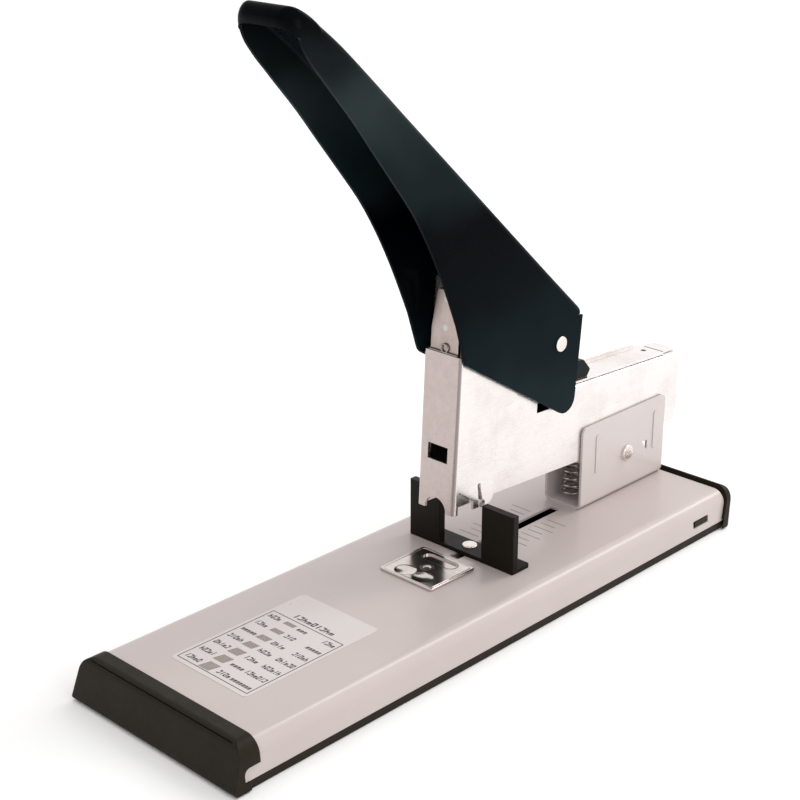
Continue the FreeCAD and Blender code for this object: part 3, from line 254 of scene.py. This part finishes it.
MATERIALS = {
    "cover_paint": paint(
        "cover_paint", (0.52, 0.452, 0.435), (0.495, 0.428, 0.411), 0.42, 0.35, 0.14, 0.35),
    "bracket_paint": paint(
        "bracket_paint", (0.60, 0.54, 0.525), (0.575, 0.515, 0.50), 0.42, 0.3, 0.16, 0.35),
    "handle_paint": enamel("handle_paint", HANDLE_REFLECTION_TONES, 0.22, 0.03, 0.01),
    "black_plastic": moulded(
        "black_plastic", (0.015, 0.0095, 0.0045), (0.011, 0.0072, 0.0032), 0.45, specular=0.14),
    "guide_plastic": moulded(
        "guide_plastic", (0.0065, 0.0045, 0.0015), (0.005, 0.0034, 0.0010), 0.40, specular=0.12),
    "knob_plastic": moulded(
        "knob_plastic", (0.003, 0.0045, 0.006), (0.002, 0.003, 0.004), 0.30, 0.004 * MM, 0.1),
    "rubber": moulded("rubber", (0.022, 0.022, 0.022), (0.017, 0.017, 0.017), 0.75),
    "nickel": metal(
        "nickel", (0.84, 0.80, 0.785), (0.72, 0.67, 0.65), 0.24, (2500, 60, 2500),
        front_reflection_tone=(0.56, 0.475, 0.455)),
    "anvil_chrome": metal("anvil_chrome", (0.66, 0.60, 0.57), (0.50, 0.43, 0.40), 0.14, (60, 2000, 2000)),
    "chrome": metal("chrome", (0.82, 0.76, 0.72), (0.70, 0.62, 0.57), 0.18, (900, 900, 900)),
    "zinc": metal("zinc", (0.60, 0.57, 0.54), (0.46, 0.42, 0.39), 0.30, (1500, 200, 1500)),
    "blued_steel": metal(
        "blued_steel", (0.045, 0.040, 0.036), (0.025, 0.021, 0.018), 0.35, (1500, 60, 1500)),
    "blade_steel": metal("blade_steel", (0.52, 0.44, 0.415), (0.36, 0.28, 0.25), 0.30, (2500, 2500, 60)),
    "label_film": paint(
        "label_film", (0.60, 0.555, 0.54), (0.58, 0.535, 0.52), 0.30, 0.3, 0.15, 0.4, 0.001 * MM, 0),
    "label_ink": paint(
        "label_ink", (0.018, 0.016, 0.015), (0.03, 0.027, 0.025), 0.45, 0.0, 0.3, 0.4, 0.001 * MM, 0),
    "scale_ink": paint(
        "scale_ink", (0.20, 0.16, 0.14), (0.24, 0.19, 0.17), 0.5, 0.0, 0.3, 0.4, 0.001 * MM, 0),
    "spring_steel": metal("spring_steel", (0.50, 0.47, 0.44), (0.32, 0.28, 0.25), 0.25, (1500, 1500, 1500)),
}
for row in frame["record"]["subparts"]:
    mesh = nodes[row["node"]].data
    mesh.materials.clear()
    mesh.materials.append(MATERIALS[row["material_slot"]])


# ---------- mesh helpers ----------

def piece(name, verts, faces, slot, body, smooth_angle=35.0):
    """A piece in millimetres, with its material slot, riding on a body."""
    mesh = bpy.data.meshes.new(name)
    mesh.from_pydata([(x * MM, y * MM, z * MM) for x, y, z in verts], [], faces)
    mesh.validate()
    return finish_piece(name, mesh, slot, body, smooth_angle)


def finish_piece(name, mesh, slot, body, smooth_angle, modifiers=()):
    """Make the mesh an object, apply its modifiers, smooth it and let it ride on its body."""
    mesh.materials.append(MATERIALS[slot])
    obj = bpy.data.objects.new(name, mesh)
    bpy.context.scene.collection.objects.link(obj)
    for kind, values in modifiers:
        if kind == "WEIGHTED_NORMAL":
            for polygon in mesh.polygons:
                polygon.use_smooth = True
        modifier = obj.modifiers.new(kind.lower(), kind)
        for key, value in values.items():
            setattr(modifier, key, value)
    if modifiers:
        shaped = bpy.data.meshes.new_from_object(obj.evaluated_get(bpy.context.evaluated_depsgraph_get()))
        obj.modifiers.clear()
        obj.data = shaped
    for polygon in obj.data.polygons:
        polygon.use_smooth = True
    obj.data.set_sharp_from_angle(angle=math.radians(smooth_angle))
    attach(obj, body)
    return obj


def arc_between(before, corner, after, radius, steps=6):
    """Points of a rounded corner."""
    corner = Vector(corner)
    one, two = (Vector(before) - corner).normalized(), (Vector(after) - corner).normalized()
    half = one.angle(two) / 2
    cut = radius / math.tan(half)
    middle = corner + (one + two).normalized() * (radius / math.sin(half))
    start, stop = corner + one * cut - middle, corner + two * cut - middle
    return [middle + start.slerp(stop, k / steps) * radius for k in range(steps + 1)]


def smooth_through(points, per_span=6):
    """Catmull-Rom curve through points."""
    out = []
    count = len(points)
    for i in range(count - 1):
        p0, p1, p2, p3 = (Vector(points[max(0, min(count - 1, i + k))]) for k in (-1, 0, 1, 2))
        for k in range(per_span):
            t = k / per_span
            square = (2 * p0 - 5 * p1 + 4 * p2 - p3) * t * t
            cube = (3 * p1 - p0 - 3 * p2 + p3) * t ** 3
            out.append(0.5 * ((2 * p1) + (p2 - p0) * t + square + cube))
    out.append(Vector(points[-1]))
    return out


# ---------- handle ----------

# Sizes in millimetres. Points of the handle's side view are (Y, Z) at rest.
HANDLE_SHEET = 1.2
HANDLE_BEND = 2.6           # bend between back and sides
TIP_BEND = 8.5              # the same bend at the tip
HANDLE_EDGE = 0.28          # rounding of the cut edges
PIN_HOLE = 2.5              # radius
PIN_HOLE_SIDES = 24
PIN_LOW, PIN_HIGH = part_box("handle_pivot_pin")
PIN_Y, PIN_Z = (PIN_LOW.y + PIN_HIGH.y) / 2 / MM, (PIN_LOW.z + PIN_HIGH.z) / 2 / MM
HEEL = (68.2, 99.0)         # corner behind the pivot
BACK = [(52.0, 113.5), (30.0, 133.4), (8.0, 153.4), (-8.2, 168.1), (-24.0, 182.4), (-40.0, 197.0),
        (-52.0, 207.7), (-60.0, 214.0)]
# The tip, rolled forward and down: outer point, and the point where its bend meets the side.
HOOD = [((-64.5, 217.8), (-61.8, 213.4)), ((-68.2, 220.2), (-64.0, 214.4)), ((-70.6, 220.5), (-65.4, 214.4)),
        ((-72.6, 219.2), (-66.9, 213.8)), ((-73.4, 217.0), (-68.2, 212.9)), ((-72.4, 214.6), (-69.5, 211.6))]
FRONT_EDGE = [(-69.5, 211.6), (-68.0, 208.1), (-64.1, 202.8), (-60.5, 198.7), (-56.7, 194.3),
              (-48.5, 185.0), (-40.0, 174.3), (-31.1, 163.2), (-22.2, 151.8), (-15.0, 140.3),
              (-8.9, 128.7), (-3.6, 117.0), (1.4, 105.1)]
# The lower front corner, the middle of the lower edge, and the lower rear corner.
FOOT = [(4.9, 93.4), (31.7, 76.9), (65.2, 56.4)]


def side_x(z):
    """Half width of the handle, which spreads towards its tip."""
    return 11.45 + (z - 89.0) * 0.0148


def handle_shell():
    """Folded sheet lever: a back strip with bends down into two sides, each with a pin hole."""
    back = arc_between((HEEL[0], 90.0), HEEL, BACK[0], 3.2)
    back += smooth_through(BACK, 4)
    inner = []
    for i, point in enumerate(back):
        along = (back[min(i + 1, len(back) - 1)] - back[max(i - 1, 0)]).normalized()
        inner.append(point + Vector((-along.y, along.x)) * HANDLE_BEND)
    hood = smooth_through([(*back[-1], *inner[-1])] + [(*b, *i) for b, i in HOOD], 4)[1:]
    back += [Vector(p[:2]) for p in hood]
    inner += [Vector(p[2:]) for p in hood]
    plain = len(back) - len(hood)
    widths = [HANDLE_BEND + (TIP_BEND - HANDLE_BEND) * max(0.0, (k + 1 - plain) / len(hood))
              for k in range(len(back))]
    bm = bmesh.new()
    bends = 8
    columns = []
    for b, i, width in zip(back, inner, widths):
        column = []
        for side in (-1, 1):
            arc = []
            for k in range(bends + 1):
                angle = math.pi / 2 * k / bends
                p = b + (i - b) * (1 - math.sin(angle))
                x = side_x(p.y) - width * (1 - math.cos(angle))
                arc.append(bm.verts.new((side * x * MM, p.x * MM, p.y * MM)))
            column.append(arc)
        columns.append(column)
    for low, high in zip(columns, columns[1:]):
        for side in (0, 1):
            for k in range(bends):
                bm.faces.new((low[side][k], low[side][k + 1], high[side][k + 1], high[side][k]))
        bm.faces.new((low[0][bends], low[1][bends], high[1][bends], high[0][bends]))
    front = smooth_through(FRONT_EDGE, 3)[1:]
    outline = front[:-1] + arc_between(FRONT_EDGE[-2], FOOT[0], FOOT[1], 5.0)
    outline += arc_between(FOOT[0], FOOT[1], FOOT[2], 30.0, 4)
    outline += arc_between(FOOT[1], FOOT[2], (HEEL[0], back[0].y), 5.5)
    outline += [Vector((HEEL[0], back[0].y - 0.8)), Vector((inner[0].x - 0.4, back[0].y - 0.8))]
    for side in (0, 1):
        sign = (-1, 1)[side]
        ring = [column[side][0] for column in columns]
        ring += [bm.verts.new((sign * side_x(p.y) * MM, p.x * MM, p.y * MM)) for p in outline]
        hole = []
        for k in range(PIN_HOLE_SIDES):
            turn = 2 * math.pi * k / PIN_HOLE_SIDES
            y, z = PIN_Y + PIN_HOLE * math.cos(turn), PIN_Z + PIN_HOLE * math.sin(turn)
            hole.append(bm.verts.new((sign * side_x(z) * MM, y * MM, z * MM)))
        edges = []
        for loop in (ring, hole):
            for p, q in zip(loop, loop[1:] + loop[:1]):
                edges.append(bm.edges.get((p, q)) or bm.edges.new((p, q)))
        bmesh.ops.triangle_fill(bm, use_beauty=True, edges=edges)
    bmesh.ops.recalc_face_normals(bm, faces=bm.faces)
    top = [f for f in bm.faces if f.calc_center_median().z > 100 * MM and abs(f.normal.x) < 0.3]
    outward = sum(f.normal.z * f.calc_area() for f in top)
    if outward < 0:
        bmesh.ops.reverse_faces(bm, faces=bm.faces)
    mesh = bpy.data.meshes.new("handle_shell")
    bm.to_mesh(mesh)
    bm.free()
    shell = finish_piece("handle_shell", mesh, "handle_paint", "handle", 40.0, (
        ("SOLIDIFY", {"thickness": HANDLE_SHEET * MM, "offset": -1.0}),
        ("BEVEL", {"width": HANDLE_EDGE * MM, "segments": 3, "limit_method": "ANGLE",
                   "angle_limit": math.radians(60)}),
        ("WEIGHTED_NORMAL", {"mode": "FACE_AREA", "weight": 50, "keep_sharp": True}),
    ))
    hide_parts("handle_lever")


handle_shell()


# ---------- print on the base ----------

COVER_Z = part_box("base_cover")[1].z / MM


def plates(name, shapes, low, high, slot, body):
    """Thin plates, each a closed outline in X and Y, carried from one height to another."""
    verts, faces = [], []
    for outline in shapes:
        first, count = len(verts), len(outline)
        verts += [(x, y, low) for x, y in outline] + [(x, y, high) for x, y in outline]
        faces.append(tuple(first + count + k for k in range(count)))
        faces.append(tuple(first + k for k in reversed(range(count))))
        for k in range(count):
            nxt = (k + 1) % count
            faces.append((first + k, first + nxt, first + count + nxt, first + count + k))
    return piece(name, verts, faces, slot, body)


def bar(x0, x1, y0, y1):
    """Outline of a rectangle."""
    return [(x0, y0), (x1, y0), (x1, y1), (x0, y1)]


def rounded_bar(x0, x1, y0, y1, radius, steps=5):
    """Outline of a rectangle with rounded corners."""
    corners = [(x0, y0), (x1, y0), (x1, y1), (x0, y1)]
    out = []
    for k in range(4):
        after = corners[(k + 1) % 4]
        out += [tuple(p) for p in arc_between(corners[k - 1], corners[k], after, radius, steps)]
    return out


# Each mark is a few bars: left, right, low, high, as shares of its box.
GLYPHS = (
    ((0, 0.3, 0, 1), (0.3, 1, 0.38, 0.62), (0.7, 1, 0, 0.38)),
    ((0, 1, 0.76, 1), (0.7, 1, 0, 0.76), (0, 0.7, 0, 0.22)),
    ((0.35, 0.68, 0, 1),),
    ((0, 1, 0, 0.22), (0, 0.3, 0.22, 0.78), (0, 1, 0.78, 1), (0.7, 1, 0.22, 0.78)),
    ((0, 0.28, 0, 0.62), (0.38, 0.62, 0, 0.62), (0.74, 1, 0, 0.62), (0.28, 0.74, 0.42, 0.62)),
)


GLYPH_WIDTH = 0.78          # share of the pitch
GLYPH_LEAN = 0.16


def print_row(ink, x, middle, count, pitch, height, seed):
    """A run of meaningless marks, as dense as small print."""
    wide = pitch * GLYPH_WIDTH
    for n in range(count):
        left = x + n * pitch
        for u0, u1, v0, v1 in GLYPHS[(n * 3 + seed * 2 + n * seed) % len(GLYPHS)]:
            low, high = middle + (v0 - 0.5) * height, middle + (v1 - 0.5) * height
            x0, x1 = left + u0 * wide, left + u1 * wide
            lean_low, lean_high = v0 * height * GLYPH_LEAN, v1 * height * GLYPH_LEAN
            ink.append([(x0 + lean_low, low), (x1 + lean_low, low),
                        (x1 + lean_high, high), (x0 + lean_high, high)])


PRINT_LOW, PRINT_HIGH = 0.001, 0.02      # how far printing stands above the film
FRAME_X = (-17.0, 17.0)
FRAME_Y = (-102.0, -59.9)
FRAME_LINE = 0.32
# How many marks each row has in its three columns, from the rear row forward.
FIRST_COLUMN = (4, 4, 5, 5, 5, 5, 5)
SECOND_COLUMN = (3, 3, 4, 4, 4, 4, 4)
LAST_COLUMN = (4, 5, 5, 6, 6, 7, 7)
HATCH_BARS = 7


def label():
    """Ruled frame, heading and rows, with a hatched patch in each row that grows towards the front."""
    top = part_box("label_sticker")[1].z / MM
    ink, icons = [], []
    (x0, x1), (y0, y1) = FRAME_X, FRAME_Y
    for x in (x0, x1 - FRAME_LINE):
        ink.append(bar(x, x + FRAME_LINE, y0, y1))
    for y in (y0, y1 - FRAME_LINE):
        ink.append(bar(x0 + FRAME_LINE, x1 - FRAME_LINE, y, y + FRAME_LINE))
    pitch = (y1 - y0) / len(LAST_COLUMN)
    for k, last in enumerate(LAST_COLUMN):
        middle = y1 - (k + 0.5) * pitch
        print_row(ink, -15.7, middle, FIRST_COLUMN[k], 1.4, 2.3, k)
        print_row(ink, -1.6 + 0.25 * k, middle, SECOND_COLUMN[k], 1.5, 2.2, k + 2)
        print_row(ink, 15.9 - last * 1.35, middle, last, 1.35, 2.3, k + 1)
        tall = 1.9 + 0.45 * k
        low, high, lean, wide = middle - tall / 2, middle + tall / 2, 0.25 * tall, 0.55
        for n in range(HATCH_BARS):
            x = -8.3 + 0.15 * k + n * 0.72
            icons.append([(x, low), (x + wide, low), (x + wide + lean, high), (x + lean, high)])
    print_row(ink, -9.2, -57.4, 9, 2.15, 2.5, 1)
    plates("label_print", ink, top + PRINT_LOW, top + PRINT_HIGH, "label_ink", "base")
    plates("label_icons", icons, top + PRINT_LOW, top + PRINT_HIGH, "scale_ink", "base")


SCALE_PITCH = 3.8
MARK_HALF = 0.22
SLOT_SIDE = 4.6             # where the marks start, beside the guide's slot


def scale_marks():
    """Printed lines on both sides of the guide's slot, long and short by turns."""
    marks = []
    for k in range(7):
        y = 37.7 + SCALE_PITCH * k
        marks.append(bar(SLOT_SIDE, 13.3 if k % 2 == 0 else 11.3, y - MARK_HALF, y + MARK_HALF))
    for k in range(9):
        y = 31.2 + SCALE_PITCH * k
        marks.append(bar(-13.9 if k % 2 == 0 else -11.6, -SLOT_SIDE, y - MARK_HALF, y + MARK_HALF))
    plates("scale_marks", marks, COVER_Z + 0.002, COVER_Z + PRINT_HIGH, "scale_ink", "base")


def stadium(half_length, half_wide, y, steps=12):
    """Oval outline along X, with round ends."""
    out = []
    for side in (1, -1):
        centre = side * (half_length - half_wide)
        for k in range(steps + 1):
            angle = side * math.pi / 2 - math.pi * k / steps
            out.append((centre + half_wide * math.cos(angle), y + half_wide * math.sin(angle)))
    return out


def ridge(name, outlines, half_width, low, high, slot, body):
    """Narrow raised lines along closed outlines."""
    verts, faces = [], []
    for outline in outlines:
        first, count = len(verts), len(outline)
        points = [Vector(p) for p in outline]
        for k, p in enumerate(points):
            along = (points[(k + 1) % count] - points[k - 1]).normalized()
            out = Vector((along.y, -along.x)) * half_width
            for q, z in ((p - out, low), (p - out * 0.5, high), (p + out * 0.5, high), (p + out, low)):
                verts.append((q.x, q.y, z))
        for k in range(count):
            a, b = first + 4 * k, first + 4 * ((k + 1) % count)
            for n in range(4):
                m = (n + 1) % 4
                faces.append((a + n, a + m, b + m, b + n))
    return piece(name, verts, faces, slot, body, 50.0)


GROOVE_OFFSET = 6.75        # from the anvil's pivot to each groove


def anvil_ridges():
    """The raised border near the anvil's edge, and a raised line round each groove, dark as a painted shade
    of the stamped edge.
    """
    low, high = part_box("anvil_plate")
    half_x, half_y, middle = high.x / MM, (high.y - low.y) / 2 / MM, (high.y + low.y) / 2 / MM
    top = high.z / MM
    edge = rounded_bar(-half_x + 1.1, half_x - 1.1, middle - half_y + 0.9, middle + half_y - 0.9, 1.4)
    ridge("anvil_border", [edge], 0.28, top - 0.02, top + 0.12, "anvil_chrome", "anvil")
    ovals = [stadium(7.95, 2.75, middle + GROOVE_OFFSET), stadium(8.25, 3.65, middle - GROOVE_OFFSET)]
    # Dark line round each groove: painted shade of the stamped edge.
    ridge("anvil_groove_shade_lines", ovals, 0.22, top - 0.02, top + 0.05, "blued_steel", "anvil")


label()
scale_marks()
anvil_ridges()


# ---------- camera, floor, light ----------

# Place, aim and lens as solved from the photograph, in metres and degrees.
camera = bpy.data.objects.new("camera", bpy.data.cameras.new("camera"))
camera.data.lens = 75.303
camera.data.sensor_width = 36.0
camera.data.clip_start = 0.02
camera.location = (0.363062, -0.393860, 0.288680)
camera.rotation_euler = (math.radians(90 - 21.334), 0.0, math.radians(43.827))
bpy.context.scene.collection.objects.link(camera)
bpy.context.scene.camera = camera

FLOOR_REACH = 14.0          # metres from the middle to each side
FLOOR_DROP = 0.0003         # keeps the floor just under the feet
floor_mesh = bpy.data.meshes.new("floor")
corners = [(-FLOOR_REACH, -FLOOR_REACH, 0), (FLOOR_REACH, -FLOOR_REACH, 0),
           (FLOOR_REACH, FLOOR_REACH, 0), (-FLOOR_REACH, FLOOR_REACH, 0)]
floor_mesh.from_pydata(corners, [], [(0, 1, 2, 3)])
floor = bpy.data.objects.new("floor", floor_mesh)
floor.location.z = -FLOOR_DROP
bpy.context.scene.collection.objects.link(floor)
floor_look = Shader("floor_white")
cloud = floor_look.span(floor_look.noise(3, 2), 0, 1)
floor_look.colour(floor_look.mix(cloud, (0.96, 0.96, 0.96), (0.94, 0.94, 0.94)))
floor_look.put(Roughness=0.9, Specular_IOR_Level=0.1)
floor_mesh.materials.append(floor_look.mat)

bpy.context.scene.view_settings.view_transform = "Standard"
world = bpy.data.worlds.new("studio")
world.use_nodes = True
# The studio is brighter to the right and behind.
sky = world.node_tree
direction = sky.nodes.new("ShaderNodeTexCoord").outputs["Generated"]
towards_light = sky.nodes.new("ShaderNodeVectorMath")
towards_light.operation = "DOT_PRODUCT"
towards_light.inputs[1].default_value = (0.35, 0.75, 0.1)
sky.links.new(direction, towards_light.inputs[0])
level = sky.nodes.new("ShaderNodeMapRange")
for key, number in (("From Min", -0.8), ("From Max", 0.8), ("To Min", 0.72), ("To Max", 1.30)):
    level.inputs[key].default_value = number
sky.links.new(towards_light.outputs["Value"], level.inputs["Value"])
sky.links.new(level.outputs["Result"], sky.nodes["Background"].inputs["Strength"])
sky.nodes["Background"].inputs["Color"].default_value = (1.0, 0.99, 0.985, 1.0)
bpy.context.scene.world = world


def softbox(name, place, width, height, power):
    """Area light aimed just above the middle of the base."""
    lamp = bpy.data.lights.new(name, "AREA")
    lamp.shape = "RECTANGLE"
    lamp.size = width
    lamp.size_y = height
    lamp.energy = power
    obj = bpy.data.objects.new(name, lamp)
    obj.location = place
    aim = Vector((0, 0, 0.03)) - Vector(place)
    obj.rotation_euler = aim.to_track_quat("-Z", "Y").to_euler()
    bpy.context.scene.collection.objects.link(obj)


softbox("key_right", (1.3, -0.15, 0.6), 0.7, 0.5, 2.0)
softbox("top_back", (0.25, 1.0, 1.08), 0.35, 0.8, 6.0)
